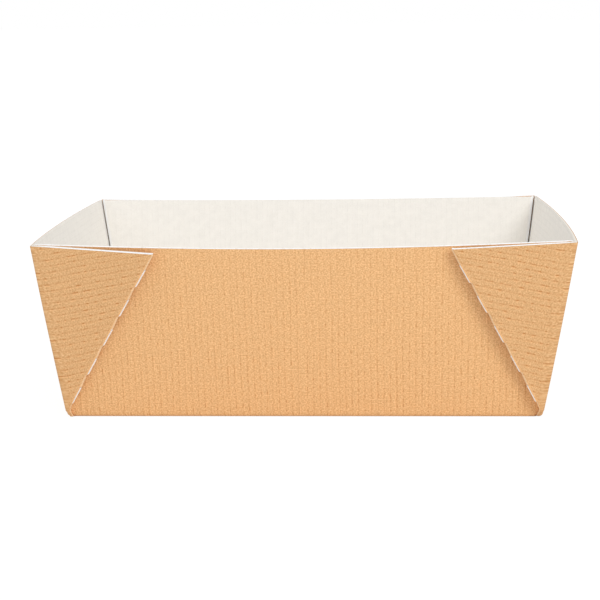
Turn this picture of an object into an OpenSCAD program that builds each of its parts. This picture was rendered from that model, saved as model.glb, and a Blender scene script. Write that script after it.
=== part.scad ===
// Open sandwich box folded from one blank of fine corrugated board, brown outside and white inside.
// At each corner a web of board is folded in two along a perforated diagonal and laid flat against
// the long wall. The long side of the box runs along X and its floor stands on z = 0.

/* [Board] */
// Thickness of the corrugated board
board_t = 1.2; // [0.8:0.1:1.6]
// How much larger than the board's thickness the outer radius of the floor's folds is
fold_extra_r = 0.4; // [0.2:0.1:0.6]

/* [Box] */
// Length of the floor between the end walls
floor_l = 183; // [140:1:240]
// Width of the floor between the long walls
floor_w = 116; // [90:1:170]
// Height of the rim above the table
box_h = 69.8; // [45:0.1:90]
// How far each end wall leans out at the rim
end_lean = 10; // [4:0.1:16]
// How far each long wall leans out at the rim
side_lean = 7.2; // [4:0.1:16]

/* [Bowed walls] */
// How far the middle of a long rim bows out
side_bow = 5.7; // [0.5:0.1:8]
// How far the middle of a long rim dips as it bows
rim_dip = 0.5; // [0:0.1:1.5]
// How far the middle of a short rim bows out
end_bow = 2.9; // [0.5:0.1:6]
// How far a corner with a loose gusset is drawn in along the box at the rim
loose_pinch = 0.7; // [0:0.1:2]
// How far a corner with a close gusset is drawn in along the box at the floor
close_foot = 1.1; // [0:0.1:1.6]

/* [Gussets] */
// Slot between a long wall and the gusset, at the corner
wall_gap = 0.9; // [0.4:0.1:1.4]
// Space between the two layers of a gusset
layer_gap = 0.2; // [0.1:0.05:0.5]
// Seam between the folded end of a long wall and the end wall
seam_gap = 0.5; // [0.2:0.1:1]
// How far the tip of a loose gusset stands off the wall
loose_tip_gap = 2.8; // [1.5:0.1:5]
// How far the tip of a loose gusset sits below the rim
loose_tip_drop = 1.6; // [0:0.1:3]
// How far the tip of a close gusset stands off the wall
close_tip_gap = 1.6; // [1.4:0.1:5]
// How far the tip of a close gusset sits below the rim
close_tip_drop = 0.6; // [0:0.1:3]
// How much further a close gusset stands off halfway down its diagonal
close_belly = 1.2; // [0:0.1:2]
// How much narrower a close gusset is at the rim, as its fold misses the middle of the web
close_trim = 1.8; // [0:0.1:4]
// How far the foot of a loose gusset lifts off the table
loose_lift = 0.5; // [0.1:0.1:1]
// How far the foot of a close gusset lifts off the table
close_lift = 0.9; // [0.1:0.1:1.5]

/* [Perforated diagonals] */
// Length of the uncut fold at the tip
tip_bridge_l = 7.6; // [3:0.2:12]
// Length of each cut
cut_l = 8; // [4:0.5:12]
// Length of the uncut fold between two cuts
bridge_l = 6; // [3:0.5:10]
// How far the rounded fold steps back just below a cut
setback_high = 0.55; // [0.1:0.05:0.8]
// How far the rounded fold still lies back just above the next cut
setback_low = 0.1; // [0:0.05:0.8]
// How far each cut slopes back from the white side of the board to the brown side
cut_bevel = 0.5; // [0:0.1:1]
// How far the cut edges swell out of the layers
cut_swell = 0.08; // [0.06:0.01:0.2]

/* [Hidden] */

// A corner is [side in X, side in Y, tip gap, tip drop, belly, trim, pinch, foot, lift]
loose = [loose_tip_gap, loose_tip_drop, 0, 0, loose_pinch, 0, loose_lift];
close = [close_tip_gap, close_tip_drop, close_belly, close_trim, 0, close_foot, close_lift];

// The two kinds of corner are placed crosswise
front_left = concat([-1, -1], loose);
front_right = concat([1, -1], close);
back_left = concat([-1, 1], close);
back_right = concat([1, 1], loose);

// Slant height of the walls, and how far their side edges splay in their own planes
side_slant = norm([side_lean, box_h]);
end_slant = norm([end_lean, box_h]);
side_splay = atan(end_lean / side_slant);
end_splay = atan(side_lean / end_slant);

// The web fills what is left of the turn at a floor corner, and the diagonal halves it
web_angle = 90 - side_splay - end_splay;
fold_angle = web_angle / 2 - side_splay;
gusset_w = side_slant * (tan(side_splay) + tan(fold_angle));

// Share of its thickness to which the gusset is crushed where it starts at the floor
floor_crush = 0.3;
// Height at which the gusset has its full thickness and its lifted foot ends
full_z = 3.5;
// Width of the gusset where it starts at the floor
floor_tip_w = 0.9;
// The perforated diagonals run down to points this far out from the inner faces of the end walls
apex_out = 1.7 * board_t;
// Inner radius of the fold from a gusset's outer layer to the end wall
corner_fold_r = 0.3;
// Turn of each flat that rounds a fold
flat_turn = 30;
// Spans along a long wall, an end wall and a gusset, and up the walls above full_z
side_spans = 14;
end_spans = 10;
gusset_spans = 4;
upper_spans = 4;

// Outer radius of a gusset's folded edge, and how far in the fold at the long wall has its centre
edge_r = board_t + layer_gap / 2;
turn_in = seam_gap + board_t + wall_gap / 2;

// Width that the folds of a gusset need, and the share of the way up where it has that width
folds_w = turn_in + 2 * edge_r;
wide_v = (folds_w + apex_out) / (gusset_w - close_trim);

// Levels of the walls from the table to the rim: [share of the way up, inset by the floor's fold]
fold_r = board_t + fold_extra_r;
full_v = full_z / box_h;
FOLD_LEVELS = [for (turn = [0:flat_turn:90])
    [fold_r * (1 - cos(turn)) / box_h, fold_r * (1 - sin(turn))]];
SQUEEZED_LEVELS = [for (share = [0.5, 1]) [full_v + share * (wide_v - full_v), 0]];
UPPER_LEVELS = [for (i = [1:upper_spans]) [wide_v + (1 - wide_v) * i / upper_spans, 0]];
LEVELS = concat(FOLD_LEVELS, [[full_v, 0]], SQUEEZED_LEVELS, UPPER_LEVELS);

// How far a corner is drawn in along the box at a share v of the way up
function draw_in(corner, v) = corner[6] * pow(v, 3) + corner[7] * pow(1 - v, 2);

// Inner faces of the end wall, at a corner, and of the long wall, from the middle of the box
function end_face(corner, v) = floor_l / 2 + end_lean * v - draw_in(corner, v);
function side_face(v) = floor_w / 2 + side_lean * v;

// Share that a place n out from the long wall's inner face has in the lift of the gusset's foot,
// which is whole where the two layers face each other
function foot_share(n) = min(1, max(0, n - board_t) / (floor_crush * (wall_gap + board_t)));

// Outward bow of a wall at a share u of its half length
function bowed(bow, u, v) = bow * v * max(0, 1 - u * u);

// Height reached by a wall of fixed slant height that leans out by run
function slant_z(slant, run, v) = sqrt(max(0, pow(slant * v, 2) - run * run));

// Point at a corner: p in from the end wall's inner face, n out from the long wall's inner face
function side_point(corner, p, n, v, inset = 0) =
    let (
        face = end_face(corner, v),
        x = face - p,
        bow = bowed(side_bow, x / face, v),
        in = inset * (1 - foot_share(n)),
        lift = corner[8] * foot_share(n) * max(0, 1 - v / full_v)
    )
    [corner[0] * (x - in), corner[1] * (side_face(v) + n + bow - in),
        slant_z(side_slant, side_lean * v + bow, v) - bowed(rim_dip, x / face, v) + lift];

// Point of the left end wall: y across from the middle, out from its inner face
function end_point(y, out, v, inset) =
    let (
        half_l = end_half_l(v),
        u = y / half_l,
        bow = bowed(end_bow, u, v),
        face = end_face(front_left, v) * (1 - u) / 2 + end_face(back_left, v) * (1 + u) / 2
    )
    [-(face + out + bow - inset), y * (1 - inset / half_l), slant_z(end_slant, end_lean * v + bow, v)];

// Distance of the perforated diagonal from the end wall's inner face
function diagonal_p(trim, v) = max(floor_tip_w, (gusset_w - trim) * v - apex_out);

// Thickness share of the gusset at a height, and share of their width that its folds have there
function crush(v) = min(1, floor_crush + (1 - floor_crush) * v / full_v);
function squeeze(v) = min(1, diagonal_p(close_trim, v) / folds_w);

// Centre of the fold between a long wall and its gusset, in from the end wall's inner face
function turn_p(v) = turn_in * squeeze(v);

// Where the layers of a gusset end, and its fold or cut edges begin
function layer_end(corner, v) = diagonal_p(corner[5], v) - edge_r * squeeze(v);

// Slot between a long wall and its gusset, at a share f of the way from the corner to the diagonal
function slot(corner, f, v) = wall_gap * crush(v)
    + f * f * v * (corner[2] - wall_gap + 4 * corner[4] * (1 - v));

// Place across a gusset: up is how far out from the inner layer's brown face
function layer_f(corner, p, v) = (p - turn_p(v)) / (layer_end(corner, v) - turn_p(v));
function layer_n(corner, p, up, v) = board_t + slot(corner, layer_f(corner, p, v), v) + up * crush(v);

// White faces of the two layers, measured up from the inner layer's brown face
outer_up = board_t + layer_gap;

// A gusset's layer at one level, from the diagonal towards the corner, as pairs [white, brown]
function layer_pairs(corner, v, inset, white_up, brown_up) = [for (i = [gusset_spans:-1:1])
    let (
        f = i / gusset_spans,
        w = v * (1 - f * corner[3] / box_h),
        p = turn_p(w) + (layer_end(corner, w) - turn_p(w)) * f
    )
    [for (up = [white_up, brown_up])
        side_point(corner, p, layer_n(corner, p, up, w), w, inset)]];

// The board at a bend of given centre and radii, narrowed by a share, as a pair at a turn t
function bend_pair(corner, v, inset, centre, radii, share, t) = [for (r = radii)
    side_point(corner, centre[0] + r * share * cos(t), centre[1] + r * crush(v) * sin(t), v, inset)];

// The board turns back on itself at the end of a long wall, with its white side out
function wall_turn(corner, v, inset) =
    let (
        gap_r = wall_gap / 2,
        centre = [turn_p(v), board_t + gap_r * crush(v)],
        bend = [for (t = [90:flat_turn:240])
            bend_pair(corner, v, inset, centre, [gap_r + board_t, gap_r], squeeze(v), t)],
        wall = [for (n = [0, board_t]) side_point(corner, turn_p(v), n, v, inset)]
    )
    concat(bend, [wall]);

// The outer layer turns the corner into the end wall
function corner_turn(corner, v, inset) =
    let (
        r = corner_fold_r,
        centre = [r * crush(v), white_n(v) - r * crush(v)]
    )
    [for (t = [90:flat_turn:180])
        bend_pair(corner, v, inset, centre, [r, r + board_t], crush(v), t)];

// White face of the outer layer at a corner, and half the length of an end wall between its folds
function white_n(v) = board_t + (wall_gap + outer_up) * crush(v);
function end_half_l(v) = side_face(v) + white_n(v) - corner_fold_r * crush(v);

function reversed(list) = [for (i = [len(list) - 1:-1:0]) list[i]];

// The front wall with the inner layers of its gussets, at one level
function long_row(v, inset) =
    let (
        wall = [for (i = [1:side_spans - 1])
            let (
                share = 1 - 2 * i / side_spans,
                corner = share > 0 ? front_left : front_right,
                face = end_face(corner, v),
                p = face - (face - turn_p(v)) * abs(share)
            )
            [for (n = [0, board_t]) side_point(corner, p, n, v, inset)]],
        left = concat(layer_pairs(front_left, v, inset, board_t, 0), wall_turn(front_left, v, inset)),
        right = concat(layer_pairs(front_right, v, inset, board_t, 0), wall_turn(front_right, v, inset))
    )
    concat(left, wall, reversed(right));

// The left end wall with the outer layers of its gussets, at one level
function end_row(v, inset) =
    let (
        face_up = [outer_up, outer_up + board_t],
        front = concat(layer_pairs(front_left, v, inset, face_up[0], face_up[1]),
            corner_turn(front_left, v, inset)),
        back = concat(layer_pairs(back_left, v, inset, face_up[0], face_up[1]),
            corner_turn(back_left, v, inset)),
        wall = [for (i = [1:end_spans - 1])
            let (y = -end_half_l(v) * (1 - 2 * i / end_spans))
            [for (out = [0, board_t]) end_point(y, out, v, inset)]]
    )
    concat(front, wall, reversed(back));

// Skins rows of [white, brown] pairs, one row per level, into a closed sheet of board
module sheet(rows, brown_right) {
    last_row = len(rows) - 1;
    last = len(rows[0]) - 1;
    function at(row, i, side) = 2 * (row * (last + 1) + i) + side;
    function quad(a, b, c, d) = [[a, b, c], [a, c, d]];
    skins = [for (row = [0:last_row - 1]) for (i = [0:last - 1]) each concat(
        quad(at(row, i, 1), at(row + 1, i, 1), at(row + 1, i + 1, 1), at(row, i + 1, 1)),
        quad(at(row, i, 0), at(row, i + 1, 0), at(row + 1, i + 1, 0), at(row + 1, i, 0)))];
    rims = [for (i = [0:last - 1]) each concat(
        quad(at(0, i, 1), at(0, i + 1, 1), at(0, i + 1, 0), at(0, i, 0)),
        quad(at(last_row, i, 0), at(last_row, i + 1, 0), at(last_row, i + 1, 1), at(last_row, i, 1)))];
    ends = [for (row = [0:last_row - 1]) each concat(
        quad(at(row, 0, 0), at(row + 1, 0, 0), at(row + 1, 0, 1), at(row, 0, 1)),
        quad(at(row, last, 1), at(row + 1, last, 1), at(row + 1, last, 0), at(row, last, 0)))];
    faces = concat(skins, rims, ends);
    points = [for (row = rows) for (pair = row) each pair];
    polyhedron(points, brown_right ? faces : [for (face = faces) reversed(face)]);
}

// The floor, whose sloping edges run into the folds all round and whose corners are blunted
module floor_panel() {
    bite = 0.6 * board_t;
    low = [floor_l, floor_w] / 2 + (bite - fold_r) * [1, 1];
    grown = low + fold_r * [1, 1];
    outline = [for (corner = [front_left, front_right, back_right, back_left])
        let (
            x = low[0] - corner[7],
            y = low[1],
            blunt = 0.4 * corner[8],
            blunted = [[x - blunt, y], [x, y - blunt]],
            in_turn = corner[0] * corner[1] > 0 ? reversed(blunted) : blunted
        )
        each [for (point = in_turn) [corner[0] * point[0], corner[1] * point[1]]]];
    linear_extrude(board_t, scale = [for (i = [0, 1]) grown[i] / low[i]]) polygon(outline);
}

module hull_of(points) hull() polyhedron(points, [[for (i = [0:len(points) - 1]) i]]);

// Place on a gusset at a height: past the diagonal by so much, and up from the inner brown face
function edge_point(corner, past, up, v) =
    let (p = diagonal_p(corner[5], v) + past * squeeze(v))
    side_point(corner, p, layer_n(corner, p, up, v), v);

// Share of the way up that lies s down the diagonal from the tip
function diagonal_v(corner, s) = 1 - corner[3] / box_h - s * cos(fold_angle) / side_slant;

// Sloping cut edge of one layer along one cut, whose white side reaches further than its brown side
module cut_edge(corner, s, white_up, brown_up) {
    back = -2 * board_t;
    section = [[back, white_up], [back, brown_up], [0, white_up], [-cut_bevel, brown_up]];
    hull_of([for (end = [s, s + cut_l]) for (q = section)
        edge_point(corner, q[0], q[1], diagonal_v(corner, end))]);
}

// Rounded fold that joins the two layers between two cuts
module bridge(corner, low_v, high_v) {
    mid_up = board_t + layer_gap / 2;
    r = mid_up - cut_swell;
    round_edge = [for (t = [-90:flat_turn:90]) [r * cos(t) - r, mid_up + r * sin(t)]];
    back_edge = [for (side = [-1, 1]) [-r - board_t, mid_up + side * r]];
    hull_of([for (end = [[low_v, setback_low], [high_v, setback_high]])
        for (q = concat(round_edge, back_edge))
            edge_point(corner, q[0] - end[1], q[1], end[0])]);
}

// The folded diagonal of one gusset, with its cuts and the bridges between them
module diagonal(corner) {
    lap = 0.15;
    least_v = 0.3 / box_h;
    diagonal_l = side_slant * diagonal_v(corner, 0) / cos(fold_angle);
    cuts = [for (s = [tip_bridge_l:cut_l + bridge_l:diagonal_l - cut_l]) s];
    tops = concat([lap], [for (s = cuts) s + cut_l - lap]);
    bottoms = concat([for (s = cuts) s + lap], [diagonal_l]);
    for (s = cuts) {
        cut_edge(corner, s, board_t - cut_swell, -cut_swell);
        cut_edge(corner, s, outer_up + cut_swell, outer_up + board_t + cut_swell);
    }
    for (i = [0:len(tops) - 1])
        bridge(corner, max(least_v, diagonal_v(corner, bottoms[i])), diagonal_v(corner, tops[i]));
}

// Front wall and left end wall with their gussets, which a half turn repeats
module half_tray() {
    sheet([for (level = LEVELS) long_row(level[0], level[1])], true);
    sheet([for (level = LEVELS) end_row(level[0], level[1])], false);
    diagonal(front_left);
    diagonal(back_left);
}

// The folded blank, which is one piece of board
module tray() color("burlywood") {
    floor_panel();
    for (turn = [0, 180]) rotate(turn) half_tray();
}

tray();
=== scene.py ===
"""Dresses the packed sandwich box as a tray folded from one blank of fine corrugated board.

The sheet is built flat as a bmesh grid whose columns are stations round the walls and whose rows
are heights. Each vertex is then put where the folded board holds it, the cuts along the gussets'
diagonals are opened, and the board gets its thickness. Sizes are in millimetres and are turned
into metres only where a vertex is placed.
"""

from __future__ import annotations

import logging
import math
from dataclasses import dataclass, field
from enum import Enum
from typing import Iterable, Sequence

import bmesh
import bpy
from mathutils import Matrix, Vector

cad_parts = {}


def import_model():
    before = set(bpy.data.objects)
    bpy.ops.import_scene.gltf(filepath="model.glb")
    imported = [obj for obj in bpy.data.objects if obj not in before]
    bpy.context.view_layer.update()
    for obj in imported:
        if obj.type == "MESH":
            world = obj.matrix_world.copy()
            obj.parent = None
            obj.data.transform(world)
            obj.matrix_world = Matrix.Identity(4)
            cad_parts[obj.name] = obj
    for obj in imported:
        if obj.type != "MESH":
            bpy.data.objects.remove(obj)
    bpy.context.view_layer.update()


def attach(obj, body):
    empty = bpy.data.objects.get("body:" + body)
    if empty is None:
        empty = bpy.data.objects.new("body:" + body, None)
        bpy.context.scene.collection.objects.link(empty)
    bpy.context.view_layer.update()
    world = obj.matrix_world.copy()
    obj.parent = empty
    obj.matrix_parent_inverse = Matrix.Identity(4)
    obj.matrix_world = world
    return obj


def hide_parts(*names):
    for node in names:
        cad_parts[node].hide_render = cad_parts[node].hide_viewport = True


LOG = logging.getLogger("sandwich_box")
MM = 0.001
# Height shares that lie closer together than this belong to one row of the sheet.
SAME_ROW = 1e-6


class Side(Enum):
    """The two faces of the board."""

    WHITE = 0
    BROWN = 1


class Slot(Enum):
    """Material slots of the box's meshes."""

    WHITE = 0
    KRAFT = 1
    CUT_EDGE = 2


class Zone(Enum):
    """The stretches of board that a station can lie on."""

    LONG_WALL = "long wall"
    WALL_TURN = "turn at the end of a long wall"
    INNER_LAYER = "inner layer of a gusset"
    DIAGONAL = "fold along the diagonal"
    OUTER_LAYER = "outer layer of a gusset"
    CORNER_TURN = "turn into an end wall"
    END_WALL = "end wall"


@dataclass(frozen=True)
class BoxSizes:
    """Sizes of the folded box in millimetres and of its leans in millimetres over the height.

    They are the ones of the part's source, apart from the narrower seam_gap. The rim's bevel, the
    seam's strip and the flutes' pitch are the scene's own.
    """

    board_t: float = 1.2
    fold_extra_r: float = 0.4
    floor_l: float = 183.0
    floor_w: float = 116.0
    box_h: float = 69.8
    end_lean: float = 10.0
    side_lean: float = 7.2
    side_bow: float = 5.7
    rim_dip: float = 0.5
    end_bow: float = 2.9
    wall_gap: float = 0.9
    layer_gap: float = 0.2
    seam_gap: float = 0.3
    tip_bridge_l: float = 7.6
    cut_l: float = 8.0
    bridge_l: float = 6.0
    cut_bevel: float = 0.5
    setback_high: float = 0.55
    setback_low: float = 0.1
    rim_bevel: float = 0.35
    # Width of the end wall's strip at the seam that is painted brown for a cracked liner at the
    # corner's fold.
    seam_strip: float = 0.9
    floor_crush: float = 0.3
    full_z: float = 3.5
    floor_tip_w: float = 0.9
    corner_fold_r: float = 0.3
    apex_share: float = 1.7
    close_trim: float = 1.8
    flute_pitch: float = 2.45

    @property
    def fold_r(self) -> float:
        """Outer radius of the fold between the floor and the walls."""
        return self.board_t + self.fold_extra_r

    @property
    def apex_out(self) -> float:
        """How far outside the end wall's inner face the diagonals run to."""
        return self.apex_share * self.board_t

    @property
    def side_slant(self) -> float:
        """Slant height of the long walls."""
        return math.hypot(self.side_lean, self.box_h)

    @property
    def end_slant(self) -> float:
        """Slant height of the end walls."""
        return math.hypot(self.end_lean, self.box_h)

    @property
    def side_splay(self) -> float:
        """Splay of a long wall's side edges in its own plane, in radians."""
        return math.atan(self.end_lean / self.side_slant)

    @property
    def end_splay(self) -> float:
        """Splay of an end wall's side edges in its own plane, in radians."""
        return math.atan(self.side_lean / self.end_slant)

    @property
    def fold_angle(self) -> float:
        """Lean of the diagonal from the upright, in radians."""
        return (math.pi / 2 - self.side_splay - self.end_splay) / 2 - self.side_splay

    @property
    def gusset_w(self) -> float:
        """Width of a gusset at the rim, before its trim."""
        return self.side_slant * (math.tan(self.side_splay) + math.tan(self.fold_angle))

    @property
    def edge_r(self) -> float:
        """Outer radius of a gusset's folded edge."""
        return self.board_t + self.layer_gap / 2

    @property
    def turn_in(self) -> float:
        """Distance from an end wall to the centre of the turn at a long wall's end."""
        return self.seam_gap + self.board_t + self.wall_gap / 2


@dataclass(frozen=True)
class Corner:
    """One corner of the box and how its gusset lies, in millimetres.

    Args:
        side_x: Sign of the end it stands at.
        side_y: Sign of the long wall it stands at.
        tip_gap: Gap between the wall and the gusset's tip.
        tip_drop: How far the tip lies below the rim.
        belly: How far the gusset's middle stands off.
        trim: How much narrower the gusset is than the fold pattern gives.
        pinch: How far the corner is drawn in at the rim.
        foot: How far the corner is drawn in at the floor.
        lift: How far the gusset's foot is lifted off the table.
    """

    side_x: int
    side_y: int
    tip_gap: float
    tip_drop: float
    belly: float
    trim: float
    pinch: float
    foot: float
    lift: float

    @classmethod
    def loose(cls, side_x: int, side_y: int) -> "Corner":
        """A gusset whose tip stands off the wall."""
        return cls(
            side_x,
            side_y,
            tip_gap=2.8,
            tip_drop=1.6,
            belly=0.0,
            trim=0.0,
            pinch=0.7,
            foot=0.0,
            lift=0.5,
        )

    @classmethod
    def close(cls, side_x: int, side_y: int, sizes: BoxSizes) -> "Corner":
        """A gusset whose tip lies near the wall and whose middle stands off."""
        return cls(
            side_x,
            side_y,
            tip_gap=1.6,
            tip_drop=0.6,
            belly=1.2,
            trim=sizes.close_trim,
            pinch=0.0,
            foot=1.1,
            lift=0.9,
        )

    def draw_in(self, v: float) -> float:
        """How far the corner is drawn in along the box at a height share."""
        return self.pinch * v**3 + self.foot * (1 - v) ** 2


@dataclass(frozen=True)
class Station:
    """One column of the sheet: a place on the way round the walls.

    Args:
        zone: Stretch of board that the station lies on.
        corner: Corner it belongs to. A wall's stations use it for their signs alone.
        share: Place along the stretch, or the turn in degrees where the stretch is a fold.
        lip: Whether the station becomes the edge of the layer where the diagonal is cut.
    """

    zone: Zone
    corner: Corner
    share: float
    lip: bool = False


@dataclass
class FoldMap:
    """Where the folded board holds each point of the sheet."""

    sizes: BoxSizes = field(default_factory=BoxSizes)

    def end_face(self, draw_in: float, v: float) -> float:
        """Distance of an end wall's inner face from the middle, at a height share."""
        return self.sizes.floor_l / 2 + self.sizes.end_lean * v - draw_in

    def side_face(self, v: float) -> float:
        """Distance of a long wall's inner face from the middle, at a height share."""
        return self.sizes.floor_w / 2 + self.sizes.side_lean * v

    def diagonal_p(self, trim: float, v: float) -> float:
        """Distance of the diagonal from the end wall's inner face."""
        s = self.sizes
        return max(s.floor_tip_w, (s.gusset_w - trim) * v - s.apex_out)

    def crush(self, v: float) -> float:
        """Thickness share of the gusset at a height share."""
        s = self.sizes
        return min(1.0, s.floor_crush + (1 - s.floor_crush) * v * s.box_h / s.full_z)

    def squeeze(self, v: float) -> float:
        """Share of their full width that a gusset's folds have at a height share."""
        s = self.sizes
        return min(1.0, self.diagonal_p(s.close_trim, v) / (s.turn_in + 2 * s.edge_r))

    def turn_p(self, v: float) -> float:
        """Centre of the turn at a long wall's end, in from the end wall."""
        return self.sizes.turn_in * self.squeeze(v)

    def layer_end(self, corner: Corner, v: float) -> float:
        """Where a gusset's layers end and its folded edge begins."""
        return self.diagonal_p(corner.trim, v) - self.sizes.edge_r * self.squeeze(v)

    def layer_n(self, corner: Corner, p: float, up: float, v: float) -> float:
        """Distance out from the long wall of a place on a gusset."""
        s = self.sizes
        f = (p - self.turn_p(v)) / (self.layer_end(corner, v) - self.turn_p(v))
        spread = corner.tip_gap - s.wall_gap + 4 * corner.belly * (1 - v)
        slot = s.wall_gap * self.crush(v) + f * f * v * spread
        return s.board_t + slot + up * self.crush(v)

    @staticmethod
    def bowed(bow: float, u: float, v: float) -> float:
        """Outward bow of a wall at a share u of its half length."""
        return bow * v * max(0.0, 1 - u * u)

    def side_point(self, corner: Corner, p: float, n: float, v: float, inset: float) -> Vector:
        """Point p in from the end wall's inner face and n out from the long wall's."""
        s = self.sizes
        x = self.end_face(corner.draw_in(v), v) - p
        bow = self.bowed(s.side_bow, x / self.end_face(corner.draw_in(v), v), v)
        run = s.side_lean * v + bow
        z = math.sqrt(max(0.0, (s.side_slant * v) ** 2 - run * run))
        z -= self.bowed(s.rim_dip, x / self.end_face(corner.draw_in(v), v), v)
        share = min(1.0, max(0.0, n - s.board_t) / (s.floor_crush * (s.wall_gap + s.board_t)))
        z += corner.lift * share * max(0.0, 1 - v * s.box_h / s.full_z)
        inset *= 1 - share
        y = self.side_face(v) + n + bow - inset
        return Vector((corner.side_x * (x - inset), corner.side_y * y, z)) * MM

    def end_half_l(self, v: float) -> float:
        """Half the length of an end wall between its corner turns."""
        s = self.sizes
        white_n = s.board_t + (s.wall_gap + s.board_t + s.layer_gap) * self.crush(v)
        return self.side_face(v) + white_n - s.corner_fold_r * self.crush(v)

    def end_point(self, corner: Corner, y: float, out: float, v: float, inset: float) -> Vector:
        """Point of an end wall, y across from the middle and out from its inner face."""
        s = self.sizes
        half_l = self.end_half_l(v)
        middle = (Corner.loose(1, 1).draw_in(v) + Corner.close(1, 1, s).draw_in(v)) / 2
        draw_in = middle + (corner.draw_in(v) - middle) * abs(y) / half_l
        bow = self.bowed(s.end_bow, y / half_l, v)
        run = s.end_lean * v + bow
        z = math.sqrt(max(0.0, (s.end_slant * v) ** 2 - run * run))
        x = self.end_face(draw_in, v) + out + bow - inset
        return Vector((corner.side_x * x, y * (1 - inset / half_l), z)) * MM

    def diagonal_v(self, corner: Corner, s_down: float) -> float:
        """Height share that lies s_down along the diagonal from the gusset's tip."""
        s = self.sizes
        return 1 - corner.tip_drop / s.box_h - s_down * math.cos(s.fold_angle) / s.side_slant

    def cuts(self, corner: Corner) -> list[tuple[float, float]]:
        """Row heights of the ends of each cut along a corner's diagonal, low end first.

        Args:
            corner: Corner whose cuts are wanted.

        Returns:
            Height shares of rows, which the gusset's drop later lowers to the cuts.
        """
        s = self.sizes
        top = self.diagonal_v(corner, 0)
        length = s.side_slant * top / math.cos(s.fold_angle)
        spans = []
        start = s.tip_bridge_l
        while start <= length - s.cut_l:
            ends = (self.diagonal_v(corner, start + s.cut_l), self.diagonal_v(corner, start))
            spans.append((ends[0] / top, ends[1] / top))
            start += s.cut_l + s.bridge_l
        return spans

    def is_cut(self, corner: Corner, v: float) -> bool:
        """Whether a row passes through one of a corner's cuts."""
        return any(low + SAME_ROW < v < high - SAME_ROW for low, high in self.cuts(corner))

    def setback(self, corner: Corner, v: float) -> float:
        """How far a bridge between two cuts lies back from the line of the cuts."""
        s = self.sizes
        cuts = self.cuts(corner)
        below = max((high for _, high in cuts if high <= v + SAME_ROW), default=0.0)
        above = min((low for low, _ in cuts if low >= v - SAME_ROW), default=1.0)
        share = (v - below) / max(SAME_ROW, above - below)
        return s.setback_low + (s.setback_high - s.setback_low) * min(1.0, max(0.0, share))

    def place(self, station: Station, side: Side, v: float, inset: float) -> Vector:
        """Puts one point of the sheet where the folded board holds it.

        Args:
            station: Column of the sheet.
            side: Face of the board.
            v: Height share of the row.
            inset: How far the floor's fold draws the row in.

        Returns:
            The point in metres, in the box's frame.
        """
        s = self.sizes
        corner = station.corner
        t = s.board_t
        if station.zone is Zone.LONG_WALL:
            half_l = self.end_face(corner.draw_in(v), v) - self.turn_p(v)
            p = self.end_face(corner.draw_in(v), v) - half_l * station.share
            n = 0.0 if side is Side.WHITE else t
            return self.side_point(corner, p, n, v, inset)
        if station.zone is Zone.END_WALL:
            out = 0.0 if side is Side.WHITE else t
            y = corner.side_y * self.end_half_l(v) * station.share
            return self.end_point(corner, y, out, v, inset)
        if station.zone is Zone.CORNER_TURN:
            r = s.corner_fold_r + (0.0 if side is Side.WHITE else t)
            k = self.crush(v)
            white_n = t + (s.wall_gap + t + s.layer_gap) * k
            turn = math.radians(station.share)
            p = s.corner_fold_r * k + r * k * math.cos(turn)
            n = white_n - s.corner_fold_r * k + r * k * math.sin(turn)
            return self.side_point(corner, p, n, v, inset)
        if station.zone is Zone.WALL_TURN:
            r = s.wall_gap / 2 + (t if side is Side.WHITE else 0.0)
            turn = math.radians(station.share)
            k = self.crush(v)
            p = self.turn_p(v) + r * self.squeeze(v) * math.cos(turn)
            n = t + s.wall_gap / 2 * k + r * (1.0 if station.share > 180 else k) * math.sin(turn)
            if math.isclose(station.share, 270):
                n = 0.0 if side is Side.WHITE else t
            return self.side_point(corner, p, n, v, inset)
        if station.zone is Zone.DIAGONAL:
            return self.diagonal_point(station, side, v, inset)
        inner = station.zone is Zone.INNER_LAYER
        w = v * (1 - station.share * corner.tip_drop / s.box_h)
        start = self.turn_p(w) if inner or station.share > 0 else s.corner_fold_r * self.crush(w)
        p = start + (self.layer_end(corner, w) - start) * station.share
        up = self.layer_up(inner, side)
        return self.side_point(corner, p, self.layer_n(corner, p, up, w), w, inset)

    def layer_up(self, inner: bool, side: Side) -> float:
        """Height of a layer's face above the inner layer's brown face."""
        t = self.sizes.board_t
        if inner:
            return t if side is Side.WHITE else 0.0
        return t + self.sizes.layer_gap + (0.0 if side is Side.WHITE else t)

    def diagonal_point(self, station: Station, side: Side, v: float, inset: float) -> Vector:
        """Point of the fold along the diagonal, or of a cut edge where the row is cut."""
        s = self.sizes
        corner = station.corner
        w = v * (1 - corner.tip_drop / s.box_h)
        squeeze = self.squeeze(w)
        if station.lip and self.is_cut(corner, v):
            p = self.diagonal_p(corner.trim, w)
            if side is Side.BROWN:
                p -= s.cut_bevel * squeeze
            up = self.layer_up(station.share < 90, side)
        else:
            r = s.layer_gap / 2 + (0.0 if side is Side.WHITE else s.board_t)
            turn = math.radians(station.share - 90)
            back = self.setback(corner, v)
            centre = self.diagonal_p(corner.trim, w) - (back + s.edge_r) * squeeze
            p = centre + r * math.cos(turn) * squeeze
            up = s.board_t + s.layer_gap / 2 + r * math.sin(turn)
        return self.side_point(corner, p, self.layer_n(corner, p, up, w), w, inset)

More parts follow.
